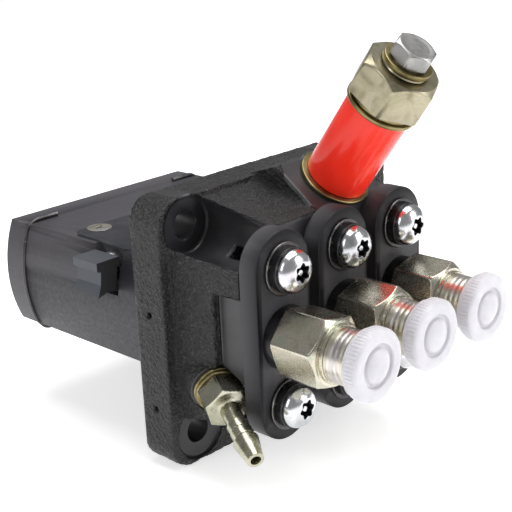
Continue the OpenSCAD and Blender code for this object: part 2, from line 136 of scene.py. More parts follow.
def turned(name, rows, where, n=96, ring=False, turn=0.0, angle=32):
    """Turned piece: rows of (z, r) where r is a number or a function of the angle."""
    verts = []
    for z, r in rows:
        for k in range(n):
            a = turn + TAU * k / n
            radius = r(a) if callable(r) else r
            verts.append(where @ Vector((radius * math.cos(a), radius * math.sin(a), z)))
    count = len(rows)
    faces = []
    for row in range(count if ring else count - 1):
        nxt = (row + 1) % count
        for k in range(n):
            j = (k + 1) % n
            faces.append((row * n + k, row * n + j, nxt * n + j, nxt * n + k))
    if not ring:
        for row in (0, count - 1):
            verts.append(where @ Vector((0, 0, rows[row][0])))
            faces += [(row * n + k, row * n + (k + 1) % n, len(verts) - 1) for k in range(n)]
    return finish_mesh(name, verts, faces, angle)


def six_sided(af, turn, limit):
    """Radius of a hexagon with slightly rounded corners, held within a round limit."""
    def radius(a):
        sides = [max(math.cos(a - turn - math.radians(30 + 60 * k)), 0.0) for k in range(6)]
        reach = sum(side ** 90 for side in sides) ** (1 / 90)
        flat = af / 2 / reach
        gap = limit - flat
        return min(limit, flat) - 0.05 * math.exp(-abs(gap) / 0.09)
    return radius


def hexagon(af, z0, z1, turn, chamfer, back=0.25, rows=7):
    """Rows of a hexagon from z0 to z1 whose corners are turned down by a cone at z1."""
    corner = af / math.sqrt(3)
    face = af / 2 - 0.35
    out = [(z0, six_sided(af, turn, face)), (z0 + back, six_sided(af, turn, corner - 0.25))]
    out += [(z0 + back + 0.2, six_sided(af, turn, corner))]
    start = z1 - chamfer
    out.append((start - 1.2, six_sided(af, turn, corner)))
    for k in range(rows + 1):
        t = k / rows
        out.append((start + chamfer * t, six_sided(af, turn, corner - (corner - face) * t ** 0.85)))
    out.append((z1, face - 0.35))
    return out


def slab(name, outline, lift, thick, where, radius=0.5, steps=4):
    """Plate with an outline of (x, y) points and a rounded upper edge."""
    count = len(outline)
    normals = []
    for k in range(count):
        a = Vector(outline[k - 1])
        b = Vector(outline[(k + 1) % count])
        t = (b - a).normalized()
        normals.append(Vector((t.y, -t.x)))
    levels = [(lift, 0.0), (lift + thick - radius, 0.0)]
    for s in range(1, steps + 1):
        t = s / steps * math.pi / 2
        levels.append((lift + thick - radius + radius * math.sin(t), radius * (1 - math.cos(t))))
    verts = []
    for z, inset in levels:
        for p, nrm in zip(outline, normals):
            q = Vector(p) - nrm * inset
            verts.append(where @ Vector((q.x, q.y, z)))
    faces = []
    for row in range(len(levels) - 1):
        for k in range(count):
            j = (k + 1) % count
            faces.append((row * count + k, row * count + j, (row + 1) * count + j, (row + 1) * count + k))
    faces.append(tuple(range(count - 1, -1, -1)))
    last = (len(levels) - 1) * count
    faces.append(tuple(range(last, last + count)))
    return finish_mesh(name, verts, faces, 40)


def tube(name, path, radius, n=16):
    """Round wire along a path of points."""
    verts = []
    side = Vector((0, 1, 0))
    for k, p in enumerate(path):
        t = (path[min(k + 1, len(path) - 1)] - path[max(k - 1, 0)]).normalized()
        u = (side - t * side.dot(t)).normalized()
        w = t.cross(u)
        for j in range(n):
            a = TAU * j / n
            verts.append(p + (u * math.cos(a) + w * math.sin(a)) * radius)
    faces = []
    for k in range(len(path) - 1):
        for j in range(n):
            i = (j + 1) % n
            faces.append((k * n + j, k * n + i, (k + 1) * n + i, (k + 1) * n + j))
    faces.append(tuple(range(n - 1, -1, -1)))
    last = (len(path) - 1) * n
    faces.append(tuple(range(last, last + n)))
    return finish_mesh(name, verts, faces, 50)


def fillet_path(points, radius, steps=8):
    out = [points[0]]
    for k in range(1, len(points) - 1):
        p = points[k]
        a = points[k - 1] - p
        b = points[k + 1] - p
        cut = min(radius, 0.48 * a.length, 0.48 * b.length)
        start = p + a.normalized() * cut
        end = p + b.normalized() * cut
        for s in range(steps + 1):
            t = s / steps
            out.append((1 - t) ** 2 * start + 2 * t * (1 - t) * p + t * t * end)
    out.append(points[-1])
    return out


def applied(obj):
    """The object's mesh with its modifiers applied, in place of the old one."""
    graph = bpy.context.evaluated_depsgraph_get()
    mesh = bpy.data.meshes.new_from_object(obj.evaluated_get(graph))
    obj.modifiers.clear()
    obj.data = mesh
    return obj


def block(name, low, high):
    """Plain closed block, only used as a cutting tool."""
    x0, y0, z0 = low
    x1, y1, z1 = high
    verts = [Vector((x, y, z)) for x in (x0, x1) for y in (y0, y1) for z in (z0, z1)]
    faces = [(0, 1, 3, 2), (4, 6, 7, 5), (0, 4, 5, 1), (2, 3, 7, 6), (0, 2, 6, 4), (1, 5, 7, 3)]
    return finish_mesh(name, verts, faces)


def part_of(node, name, low, high):
    """Copy of the CAD node's mesh, kept only inside the block from low to high."""
    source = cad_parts[node]
    piece = bpy.data.objects.new(name, source.data.copy())
    bpy.context.scene.collection.objects.link(piece)
    piece.data.materials.clear()
    cutter = block(name + "_cutter", low, high)
    cut = piece.modifiers.new("cut", "BOOLEAN")
    cut.operation = "INTERSECT"
    cut.solver = "EXACT"
    cut.object = cutter
    bpy.context.view_layer.update()
    applied(piece)
    bpy.data.objects.remove(cutter)
    return piece


# --- materials ---

class Shader:
    """Small helper that adds nodes to one material."""

    def __init__(self, name):
        self.material = bpy.data.materials.new(name)
        self.material.use_nodes = True
        self.tree = self.material.node_tree
        self.bsdf = self.tree.nodes["Principled BSDF"]
        self.coord = self.add("ShaderNodeTexCoord").outputs["Object"]

    def add(self, kind, **values):
        node = self.tree.nodes.new(kind)
        for key, value in values.items():
            setattr(node, key, value)
        return node

    def link(self, a, b):
        self.tree.links.new(a, b)

    def put(self, socket, value):
        if isinstance(value, bpy.types.NodeSocket):
            self.link(value, socket)
        else:
            socket.default_value = value

    def noise(self, scale, detail=3.0, rough=0.55, stretch=None, distortion=0.0):
        coord = self.coord
        if stretch:
            mapping = self.add("ShaderNodeMapping")
            mapping.inputs["Scale"].default_value = stretch
            self.link(coord, mapping.inputs["Vector"])
            coord = mapping.outputs["Vector"]
        node = self.add("ShaderNodeTexNoise")
        node.inputs["Scale"].default_value = scale
        node.inputs["Detail"].default_value = detail
        node.inputs["Roughness"].default_value = rough
        node.inputs["Distortion"].default_value = distortion
        self.link(coord, node.inputs["Vector"])
        return node.outputs["Fac"]

    def cells(self, scale):
        node = self.add("ShaderNodeTexVoronoi")
        node.inputs["Scale"].default_value = scale
        self.link(self.coord, node.inputs["Vector"])
        return node.outputs["Distance"]

    def ramp(self, fac, stops):
        node = self.add("ShaderNodeValToRGB")
        ramp = node.color_ramp
        while len(ramp.elements) < len(stops):
            ramp.elements.new(0.5)
        for element, (at, color) in zip(ramp.elements, stops):
            element.position = at
            element.color = (*color, 1.0) if isinstance(color, tuple) else (color, color, color, 1.0)
        self.link(fac, node.inputs["Fac"])
        return node.outputs["Color"]

    def remap(self, value, a, b, c, d):
        node = self.add("ShaderNodeMapRange")
        for key, v in zip(("From Min", "From Max", "To Min", "To Max"), (a, b, c, d)):
            node.inputs[key].default_value = v
        self.link(value, node.inputs["Value"])
        return node.outputs["Result"]

    def mix(self, fac, a, b, blend="MIX"):
        node = self.add("ShaderNodeMix", data_type="RGBA", blend_type=blend)
        self.put(node.inputs[0], fac)
        self.put(node.inputs[6], a if not isinstance(a, tuple) else (*a, 1.0))
        self.put(node.inputs[7], b if not isinstance(b, tuple) else (*b, 1.0))
        return node.outputs[2]

    def math(self, op, a, b=0.0):
        node = self.add("ShaderNodeMath", operation=op)
        self.put(node.inputs[0], a)
        self.put(node.inputs[1], b)
        return node.outputs[0]

    def edges(self, low=0.52, high=0.58):
        return self.remap(self.add("ShaderNodeNewGeometry").outputs["Pointiness"], low, high, 0.0, 1.0)

    def attribute(self, name):
        return self.add("ShaderNodeAttribute", attribute_name=name).outputs["Fac"]

    def bump(self, heights, bevel=0.0):
        """Chain of bumps from (height, depth in mm, strength), on rounded edges where bevel is set."""
        normal = None
        if bevel:
            node = self.add("ShaderNodeBevel", samples=4)
            node.inputs["Radius"].default_value = bevel * MM
            normal = node.outputs["Normal"]
        for height, depth, strength in heights:
            node = self.add("ShaderNodeBump")
            node.inputs["Distance"].default_value = depth * MM
            node.inputs["Strength"].default_value = strength
            self.link(height, node.inputs["Height"])
            if normal:
                self.link(normal, node.inputs["Normal"])
            normal = node.outputs["Normal"]
        self.link(normal, self.bsdf.inputs["Normal"])

    def set(self, **values):
        for key, value in values.items():
            socket = self.bsdf.inputs[key.replace("_", " ")]
            self.put(socket, value)


def casting_material():
    """Sand-cast front with a matte black coat, smoother where it is machined."""
    s = Shader("cast_black")
    cut = s.attribute("machined")
    grain = s.noise(1500, 4, 0.7)
    pits = s.cells(1100)
    blotch = s.noise(90, 3, 0.6)
    # painted glints: tiny bright specks mixed into the base colour stand in for specular glints on the cast
    # skin
    painted_glint = s.ramp(s.noise(2300, 2, 0.6), [(0.6, 0.0), (0.7, 1.0)])
    rough_color = s.ramp(blotch, [(0.3, (0.005, 0.005, 0.0055)), (0.55, (0.009, 0.0088, 0.009)),
                                  (0.75, (0.016, 0.0152, 0.0148))])
    with_painted_glints = s.mix(painted_glint, rough_color, (0.13, 0.127, 0.12))
    worn = s.mix(s.math("MULTIPLY", s.edges(0.53, 0.62), 0.5), with_painted_glints, (0.085, 0.084, 0.086))
    smooth_color = s.ramp(s.noise(160, 3, 0.5), [(0.35, (0.012, 0.012, 0.014)),
                                                 (0.7, (0.024, 0.0235, 0.027))])
    s.set(Base_Color=s.mix(cut, worn, smooth_color))
    rough = s.mix(cut, s.remap(grain, 0.3, 0.7, 0.3, 0.55), s.remap(blotch, 0.3, 0.7, 0.34, 0.46))
    s.set(Roughness=rough, Metallic=0.0)
    s.bsdf.inputs["Specular IOR Level"].default_value = 0.6
    rest = s.math("SUBTRACT", 1.0, cut)
    s.bump([(s.math("MULTIPLY", grain, rest), 0.9, 1.0), (s.math("MULTIPLY", pits, rest), 0.6, 0.8),
            (s.noise(900, 2, 0.5, (1, 1, 8)), 0.05, 0.25)])
    return s.material


def spigot_material():
    """Smooth machined spigot with a thin purple-grey coat."""
    s = Shader("spigot_coat")
    blotch = s.noise(60, 4, 0.6, distortion=0.6)
    fine = s.noise(900, 3, 0.6)
    color = s.ramp(blotch, [(0.3, (0.02, 0.0188, 0.0235)), (0.5, (0.026, 0.0245, 0.031)),
                            (0.72, (0.036, 0.034, 0.042))])
    spots = s.ramp(s.noise(700, 3, 0.7), [(0.66, 0.0), (0.74, 1.0)])
    color = s.mix(s.math("MULTIPLY", spots, 0.5), color, (0.03, 0.028, 0.034))
    color = s.mix(s.math("MULTIPLY", s.edges(0.53, 0.6), 0.6), color, (0.1, 0.095, 0.105))
    s.set(Base_Color=color, Roughness=s.remap(fine, 0.3, 0.7, 0.44, 0.58), Metallic=0.1)
    s.bsdf.inputs["Specular IOR Level"].default_value = 0.42
    s.bump([(s.noise(1200, 2, 0.5, (1, 6, 1)), 0.05, 0.3), (fine, 0.04, 0.2)], bevel=0.25)
    return s.material


def dark_steel(name, color, rough, edge, bevel=0.2, metallic=0.5, specular=0.5):
    """Blackened or oiled steel with rubbed edges."""
    s = Shader(name)
    blotch = s.noise(220, 4, 0.6)
    fine = s.noise(1800, 3, 0.6)
    dark = tuple(0.6 * c for c in color)
    light = tuple(1.5 * c for c in color)
    base = s.ramp(blotch, [(0.3, dark), (0.5, color), (0.74, light)])
    base = s.mix(s.math("MULTIPLY", s.edges(0.52, 0.58), 0.55), base, edge)
    s.set(Base_Color=base, Metallic=metallic, Roughness=s.remap(blotch, 0.3, 0.7, rough - 0.07, rough + 0.1))
    s.bsdf.inputs["Specular IOR Level"].default_value = specular
    s.bump([(fine, 0.05, 0.35), (s.noise(500, 2, 0.5), 0.06, 0.2)], bevel=bevel)
    return s.material


def zinc(name, stops, rough, dull=0.35, bands=None):
    """Plated steel: tints that drift over the surface, with dull patches."""
    s = Shader(name)
    drift = s.noise(120, 3, 0.55, bands, 0.8)
    fine = s.noise(1600, 3, 0.6)
    base = s.ramp(drift, stops)
    stain = s.ramp(s.noise(420, 4, 0.65), [(0.55, 0.0), (0.72, 1.0)])
    base = s.mix(s.math("MULTIPLY", stain, dull), base, tuple(0.45 * c for c in stops[0][1]))
    s.set(Base_Color=base, Metallic=1.0, Roughness=s.remap(fine, 0.3, 0.7, rough - 0.03, rough + 0.05))
    s.bump([(fine, 0.01, 0.12)])
    return s.material


def cap_material():
    """Milky translucent polyethylene."""
    s = Shader("cap_polyethylene")
    cloud = s.noise(260, 3, 0.55)
    color = s.ramp(cloud, [(0.3, (0.69, 0.68, 0.725)), (0.7, (0.78, 0.77, 0.81))])
    s.set(Base_Color=color, Roughness=s.remap(s.noise(900, 2, 0.5), 0.3, 0.7, 0.28, 0.42))
    s.set(Subsurface_Weight=0.55, Subsurface_Scale=0.0014, Transmission_Weight=0.2, IOR=1.5)
    s.bsdf.inputs["Subsurface Radius"].default_value = (0.9, 0.95, 1.0)
    s.bump([(s.noise(700, 2, 0.5), 0.03, 0.2)])
    return s.material


def red_material():
    """Glossy moulded plastic."""
    s = Shader("red_gloss")
    drift = s.noise(140, 3, 0.5, (1, 1, 0.4))
    color = s.ramp(drift, [(0.3, (0.93, 0.028, 0.012)), (0.7, (1.0, 0.04, 0.02))])
    s.set(Base_Color=color, Roughness=s.remap(s.noise(600, 3, 0.5), 0.3, 0.7, 0.16, 0.26))
    s.set(Coat_Weight=0.15, Coat_Roughness=0.08, Subsurface_Weight=0.12, Subsurface_Scale=0.001)
    s.bsdf.inputs["Specular IOR Level"].default_value = 0.3
    s.bump([(s.noise(180, 2, 0.5, (1, 1, 0.3)), 0.05, 0.25)])
    return s.material


def steel(name, color, rough, stretch):
    """Ground steel with fine tool marks and an oily film."""
    s = Shader(name)
    blotch = s.noise(150, 4, 0.6)
    marks = s.noise(1400, 3, 0.6, stretch)
    dark = tuple(0.7 * c for c in color)
    light = tuple(1.15 * c for c in color)
    base = s.ramp(blotch, [(0.3, dark), (0.6, color), (0.8, light)])
    base = s.mix(s.math("MULTIPLY", s.edges(), 0.4), base, (0.8, 0.8, 0.82))
    s.set(Base_Color=base, Metallic=1.0, Roughness=s.remap(marks, 0.3, 0.7, rough - 0.06, rough + 0.08))
    s.bump([(marks, 0.03, 0.3)], bevel=0.15)
    return s.material


M = {
    "casting": casting_material(),
    "spigot": spigot_material(),
    "black": dark_steel("black_oxide", (0.004, 0.0036, 0.0048), 0.38, (0.16, 0.155, 0.165),
                        metallic=0.0, specular=0.14),
    "rack": dark_steel("rack_coat", (0.012, 0.013, 0.0165), 0.42, (0.12, 0.13, 0.15),
                       metallic=0.0, specular=0.3),
    # painted shade: a near-black material put on screw sockets and on the rack faces turned away from the
    # light, where shade falls
    "painted_shade": dark_steel("painted_recess_shade", (0.006, 0.006, 0.007), 0.5, (0.05, 0.05, 0.05),
                         bevel=0.0, metallic=0.0, specular=0.2),
    "washer": dark_steel("oiled_washer", (0.07, 0.065, 0.068), 0.3, (0.5, 0.49, 0.47), metallic=0.9),
    # near-black collars: the flange-screw collars, and a painted shadow ring on the valve holders' zinc
    # collars behind the hex
    "collar": dark_steel("dark_collar_and_shade_ring", (0.008, 0.0075, 0.0085), 0.28, (0.12, 0.12, 0.12),
                         metallic=0.1, specular=0.35),
    "wire": dark_steel("spring_wire", (0.05, 0.047, 0.05), 0.32, (0.25, 0.24, 0.24),
                       bevel=0.0, metallic=0.8),
    "plate": dark_steel("plate_coat", (0.026, 0.0255, 0.033), 0.45, (0.12, 0.13, 0.15),
                        metallic=0.1, specular=0.4),
    "yellow": zinc("yellow_zinc", [(0.28, (0.4, 0.39, 0.31)), (0.42, (0.52, 0.5, 0.4)),
                                   (0.52, (0.58, 0.53, 0.45)),
                                   (0.62, (0.5, 0.52, 0.42)), (0.75, (0.57, 0.51, 0.47))], 0.25),
    "nipple": zinc("nipple_zinc", [(0.3, (0.27, 0.27, 0.2)), (0.5, (0.42, 0.41, 0.31)),
                                   (0.72, (0.52, 0.5, 0.42))], 0.25),
    "neck": zinc("thread_zinc", [(0.3, (0.42, 0.4, 0.3)), (0.45, (0.6, 0.57, 0.47)),
                                 (0.55, (0.68, 0.64, 0.62)),
                                 (0.65, (0.55, 0.52, 0.5)), (0.75, (0.62, 0.56, 0.44))],
                 0.3, dull=0.06, bands=(0.4, 4.0, 0.4)),
    "inlet": zinc("inlet_zinc", [(0.28, (0.2, 0.18, 0.12)), (0.42, (0.33, 0.3, 0.2)),
                                 (0.55, (0.41, 0.37, 0.27)),
                                 (0.72, (0.32, 0.3, 0.21))], 0.3, dull=0.2),
    "bolt": zinc("bolt_zinc", [(0.3, (0.24, 0.24, 0.235)), (0.5, (0.36, 0.355, 0.345)),
                               (0.75, (0.42, 0.41, 0.4))], 0.4, dull=0.3),
    "bright": zinc("bright_zinc", [(0.3, (0.48, 0.49, 0.51)), (0.55, (0.68, 0.69, 0.71)),
                                   (0.75, (0.6, 0.58, 0.62))], 0.2),
    "brass": zinc("tarnished_brass", [(0.3, (0.13, 0.105, 0.045)), (0.5, (0.24, 0.2, 0.09)),
                                      (0.72, (0.34, 0.29, 0.15))], 0.33),
    "cap": cap_material(),
    "red": red_material(),
    "ground": steel("ground_steel", (0.5, 0.5, 0.52), 0.26, (1, 6, 1)),
    "roller": steel("polished_steel", (0.58, 0.58, 0.6), 0.17, (6, 1, 1)),
    "coil": steel("spring_steel", (0.2, 0.2, 0.21), 0.34, (1, 1, 1)),
}


def dress(obj, key, body="housing", stands_for=()):
    obj.data.materials.clear()
    obj.data.materials.append(M[key])
    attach(obj, body)
    if stands_for:
        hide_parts(*stands_for)
    return obj


# --- casting ---

def machined_at(p):
    """1 on machined faces, 0 on the cast skin. p is in millimetres."""
    amount = 0.0
    for sx in (-1, 1):
        for sz in (-1, 1):
            d = math.hypot(p.x - sx * HOLE_AT, p.z - sz * HOLE_AT)
            if d < SPOT_FACE_R and (p.y > -22 or sx + sz < 2):
                amount = max(amount, min(1.0, (SPOT_FACE_R - d) / 0.4))
    local = AT_INLET.inverted() @ p
    if abs(local.z) < 0.9 and math.hypot(local.x, local.y) < 16:
        amount = max(amount, min(1.0, (0.9 - abs(local.z)) / 0.3))
    local = AT_NIPPLE.inverted() @ p
    if local.z > -0.5 and math.hypot(local.x, local.y) < 7.3:
        amount = 1.0
    if p.x < -31.2 and -24.3 > p.y > -BODY_FRONT - 1 and -8.4 < p.z < 14.9:
        amount = max(amount, min(1.0, (-31.2 - p.x) / 0.3))
    if p.y > -0.7:
        amount = max(amount, min(1.0, (p.y + 0.7) / 0.4))
    if p.y < -BODY_FRONT + 0.5:
        amount = max(amount, min(1.0, (-BODY_FRONT + 0.5 - p.y) / 0.4))
    return amount


def casting_front():
    piece = part_of("pump_housing", "casting_front", (-60, -60, -60), (60, 0, 60))
    remesh = piece.modifiers.new("skin", "REMESH")
    remesh.mode = "VOXEL"
    remesh.voxel_size = 0.42 * MM
    applied(piece)
    relax = piece.modifiers.new("relax", "SMOOTH")
    relax.factor = 0.5
    relax.iterations = 3
    applied(piece)
    mesh = piece.data
    attribute = mesh.attributes.new("machined", "FLOAT", "POINT")
    normals = [v.normal.copy() for v in mesh.vertices]
    for v, normal in zip(mesh.vertices, normals):
        p = v.co / MM
        amount = machined_at(p)
        attribute.data[v.index].value = amount
        rest = 1 - amount
        if rest > 0:
            grain = noise.noise(p * 0.62) * 0.17 + noise.noise(p * 1.3 + Vector((9, 4, 2))) * 0.13
            wave = noise.noise(p * 0.13) * 0.2
            v.co += normal * (grain + wave) * rest * MM
    for v in mesh.vertices:
        p = v.co / MM
        for sx in (-1, 1):
            for sz in (-1, 1):
                snap(v, p, sx * HOLE_AT, sz * HOLE_AT, HOLE_R)
    smooth(mesh, 60)
    dress(piece, "casting", stands_for=("pump_housing",))


def snap(v, p, x, z, r):
    """Puts a vertex near a hole's wall exactly on it."""
    dx, dz = p.x - x, p.z - z
    d = math.hypot(dx, dz)
    if abs(d - r) < 0.45 and -10.6 < p.y < -0.4:
        v.co.x = (x + dx * r / d) * MM
        v.co.z = (z + dz * r / d) * MM


def casting_spigot():
    piece = part_of("pump_housing", "casting_spigot", (-36.8, -0.9, -12.2), (36.8, 80, 19.2))
    smooth(piece.data, 30)
    dress(piece, "spigot", stands_for=("pump_housing",))


# --- outlets ---

def oval_outline(r, at, steps=24):
    points = []
    for k in range(steps + 1):
        a = math.pi * k / steps
        points.append((r * math.cos(a), at + r * math.sin(a)))
    for k in range(steps + 1):
        a = math.pi + math.pi * k / steps
        points.append((r * math.cos(a), -at + r * math.sin(a)))
    return points


def bore(piece, where, r, z0, z1):
    """Cuts a round hole through the piece."""
    drill = turned(piece.name + "_drill", [(z0, r), (z1, r)], where, 64)
    cut = piece.modifiers.new("bore", "BOOLEAN")
    cut.operation = "DIFFERENCE"
    cut.solver = "EXACT"
    cut.object = drill
    bpy.context.view_layer.update()
    applied(piece)
    bpy.data.objects.remove(drill)


def barrel_flanges():
    for i in range(3):
        piece = slab(f"barrel_plate_{i + 1}", oval_outline(9.75, SCREW_AT), BODY_FRONT, 5.4, outlet(i), 0.35)
        for z, r in ((0, 8.0), (SCREW_AT, 2.6), (-SCREW_AT, 2.6)):
            bore(piece, outlet(i, z), r, BODY_FRONT - 1, FLANGE_FRONT + 1)
        smooth(piece.data, 40)
        dress(piece, "black", stands_for=(f"barrel_flange_{i + 1}",))


def six_lobes(mid, depth, turn):
    return lambda a: mid + depth * math.cos(6 * (a - turn))


def paint_socket_shade(obj, where, r0, r1, z1):
    """Painted shade: near-black material on the faces of a socket, between two radii and below z1."""
    obj.data.materials.append(M["painted_shade"])
    inverse = where.inverted()
    for face in obj.data.polygons:
        p = inverse @ (face.center / MM)
        if r0 < math.hypot(p.x, p.y) < r1 and -0.5 < p.z < z1:
            face.material_index = 1


def flange_screws():
    for i in range(3):
        for s in (-1, 1):
            where = outlet(i, s * SCREW_AT, FLANGE_FRONT)
            turn = math.radians(17 * i + (25 if s > 0 else 5))
            tag = f"{i + 1}_{'upper' if s > 0 else 'lower'}"
            lobes = six_lobes(2.05, 0.33, turn)
            lip = six_lobes(2.25, 0.33, turn)
            head = [(0.0, 4.9), (0.0, 5.35), (0.25, 5.5), (0.8, 5.5), (1.4, 5.38), (2.1, 5.0)]
            head += [(2.7, 4.42), (3.15, 3.7), (3.4, 3.1), (3.52, 2.8), (3.5, lip), (3.3, lobes)]
            head += [(1.8, lobes), (1.4, lobes), (1.35, 1.1), (1.4, 0.85), (2.7, 0.8), (2.85, 0.65)]
            head += [(2.9, 0.3)]
            seat = outlet(i, s * SCREW_AT, FLANGE_FRONT + 3.0)
            screw = turned("screw_" + tag, head, seat, 96)
            dress(screw, "bright", stands_for=("flange_screws",))
            # painted shade inside the screw's socket
            paint_socket_shade(screw, seat, 0.95, 2.6, 3.49)
            washer = soften([(0, 6.8), (0.95, 6.8), (0.95, 3.3), (0, 3.3)], 0.28, True)
            dress(turned("washer_" + tag, washer, where, 72, True), "washer",
                  stands_for=("screw_washers",))
            collar = soften([(0.95, 5.9), (3.0, 5.9), (3.0, 3.3), (0.95, 3.3)], 0.25, True)
            dress(turned("collar_" + tag, collar, where, 72, True), "collar",
                  stands_for=("screw_collars",))


def thread(z, r, pitch, depth):
    def radius(a):
        wave = 0.5 + 0.5 * math.cos(TAU * (z / pitch) - a)
        return r - depth * (1 - wave ** 0.7)
    return radius


def valve_holders():
    for i in range(3):
        turn = math.radians(HEX_TURN[i])
        # painted shade: the holder's zinc collar gets the near-black material as the shadow ring behind the
        # hex
        rows = soften([(38.0, 7.9), (38.0, 8.3), (41.2, 8.3), (41.4, 7.9)], 0.3)
        collar = turned(f"holder_collar_{i + 1}", rows, outlet(i), 96)
        dress(collar, "collar", stands_for=(f"valve_holder_{i + 1}",))
        rows = hexagon(17, 41.35, 54.8, turn, 1.15)
        rows += [(54.85, 7.6), (54.9, 7.45), (55.9, 7.45), (56.05, 7.3)]
        body = turned(f"holder_{i + 1}", rows, outlet(i), 216, turn=turn)
        dress(body, "yellow", stands_for=(f"valve_holder_{i + 1}",))
        rows = [(55.8, 6.3), (56.0, 6.9)]
        rows += [(56.15, 7.0), (57.6, 7.0)]
        rows += [(57.75 + 0.1875 * k, thread(57.75 + 0.1875 * k, 7.0, 1.5, 0.055)) for k in range(38)]
        rows += soften([(65.0, 6.6), (66.0, 5.9), (66.0, 4.0), (63.4, 1.2)], 0.2)
        neck = turned(f"thread_{i + 1}", rows, outlet(i), 96)
        dress(neck, "neck", stands_for=(f"valve_holder_{i + 1}",))
        skirt = [(24.0, 3.8), (24.0, 6.5), (38.3, 6.5), (38.3, 3.8)]
        shank = turned(f"holder_shank_{i + 1}", soften(skirt, 0.2, True), outlet(i), 64, True)
        dress(shank, "neck", stands_for=(f"valve_holder_{i + 1}",))


def caps():
    ribs = 60
    for i in range(3):
        def ribbed(r, depth=0.16, phase=0.4 * i):
            return lambda a: r - depth + depth * abs(math.cos(ribs / 2 * a + phase)) ** 0.5
        rows = [(62.6, 7.1), (62.6, 8.1), (62.75, 8.3), (63.9, 8.3), (64.05, 8.5), (64.1, 8.8)]
        rows += [(64.2, ribbed(9.1, 0.08)), (64.4, ribbed(9.15)), (66.4, ribbed(9.15))]
        rows += [(66.65, ribbed(9.05, 0.12)), (66.9, ribbed(8.85, 0.07)), (67.12, 8.55), (67.25, 8.2)]
        rows += [(67.3, 7.8), (67.3, 5.75), (67.22, 5.6), (67.0, 5.5), (66.65, 5.45), (66.5, 5.3)]
        rows += [(66.5, 4.6), (66.62, 4.4)]
        rows += [(66.95, 4.3), (67.15, 4.15), (67.45, 3.6), (67.75, 2.6), (67.92, 1.4), (67.96, 0.5)]
        piece = turned(f"cap_{i + 1}_moulded", rows, outlet(i), 480, angle=50)
        dress(piece, "cap", f"cap_{i + 1}", (f"outlet_cap_{i + 1}",))


# --- inlet ---

def inlet():
    top = 1.2 + 25.2
    hex_z = top + 2.2
    washers = (("base", 0.0, 1.2, 9.75, -0.7), ("lower", top, 1.1, 9.6, 0.0),
               ("upper", top + 1.1, 1.1, 8.8, 0.0))
    for tag, z, h, r, off in washers:
        rows = soften([(z, r), (z + h, r), (z + h, 5.9), (z, 5.9)], 0.35, True)
        where = AT_INLET @ Matrix.Translation((off, 0, 0))
        dress(turned("inlet_washer_" + tag, rows, where, 96, True), "brass",
              stands_for=("inlet_washers",))
    rows = soften([(1.2, 8.65), (top, 8.65), (top, 5.1), (1.2, 5.1)], 0.4, True)
    dress(turned("transit_tube", rows, AT_INLET, 128, True), "red",
          stands_for=("transit_sleeve",))
    turn = math.radians(30)
    rows = [(-11.0, 4.6), (-10.6, 5.0), (hex_z + 0.1, 5.0), (hex_z + 0.1, 8.4)]
    rows += hexagon(19, hex_z + 0.15, hex_z + 10.6, turn, 1.6, 0.35)
    rows += [(hex_z + 10.62, 7.4), (hex_z + 10.65, 6.2), (hex_z + 11.1, 6.0), (hex_z + 11.2, 5.6)]
    bolt = turned("inlet_bolt_body", rows, AT_INLET, 216, turn=turn)
    dress(bolt, "inlet", stands_for=("inlet_bolt",))
    z = hex_z + 11.2
    rows = soften([(z, 6.6), (z + 1.5, 6.6), (z + 1.5, 3.1), (z, 3.1)], 0.35, True)
    dress(turned("bleed_seal", rows, AT_INLET, 96, True), "brass", stands_for=("bleed_washer",))
    z += 1.5
    turn = math.radians(24)
    rows = [(z - 9, 2.1), (z - 8.6, 2.5), (z - 0.05, 2.5), (z, 4.7), (z + 0.4, 4.7)]
    rows += hexagon(10, z + 0.4, z + 4.4, turn, 0.65, 0.15, 5)
    rows += [(z + 4.25, 3.6), (z + 4.2, 3.2)]
    dress(turned("bleed_bolt", rows, AT_INLET, 144, turn=turn), "bolt",
          stands_for=("bleed_screw",))


def nipple():
    for tag, z, r in (("inner", 0.0, 6.5), ("outer", 1.12, 6.3)):
        rows = soften([(z, r), (z + 1.06, r), (z + 1.06, 3.1), (z, 3.1)], 0.28, True)
        dress(turned("nipple_washer_" + tag, rows, AT_NIPPLE, 72, True), "brass",
              stands_for=("nipple_washers",))
    turn = math.radians(46.7)
    rows = [(-7.0, 2.6), (-6.7, 3.0), (2.1, 3.0), (2.2, 5.0)]
    rows += hexagon(11, 2.2, 9.2, turn, 0.45, 0.15, 5)
    rows += [(9.25, 3.6), (9.35, 2.75), (9.5, 2.55)]
    barbs = [(15.5, 2.5), (15.6, 2.92), (17.9, 2.6), (18.05, 2.5), (18.2, 2.9), (20.5, 2.6), (20.8, 2.5)]
    barbs += [(21.1, 2.7), (21.6, 3.3), (28.5, 2.15), (28.5, 1.35)]
    rows += soften(barbs, 0.16)
    rows += [(28.2, 1.25), (16.0, 1.2)]
    dress(turned("nipple_body", rows, AT_NIPPLE, 144, turn=turn), "nipple",
          stands_for=("return_nipple",))


# --- spigot fittings ---

def wire_clip():
    r = 36.55
    lift = SPIGOT_FLAT + 0.65
    hook = SPIGOT_FLAT + 2.0
    bend = math.asin((SPIGOT_FLAT - 1) / r)
    corner = Vector((r * math.cos(bend) - 2.6, 0, lift))
    start = [Vector((PITCH, 0, lift)), Vector((PITCH + 5, 0, lift)), corner]
    angles = [bend * (1 - k / 16) for k in range(33)]
    arc = [Vector((r * math.cos(a), 0, r * math.sin(a))) for a in angles]
    half = start + arc + [Vector((corner.x, 0, -hook))]
    route = half + [Vector((-p.x, 0, p.z)) for p in reversed(half)]
    route = [p + Vector((0, CLIP_Y, OUTLET_Z)) for p in fillet_path(route, 1.6)]
    dress(tube("clip_wire", route, 0.6), "wire", stands_for=("wire_clip",))


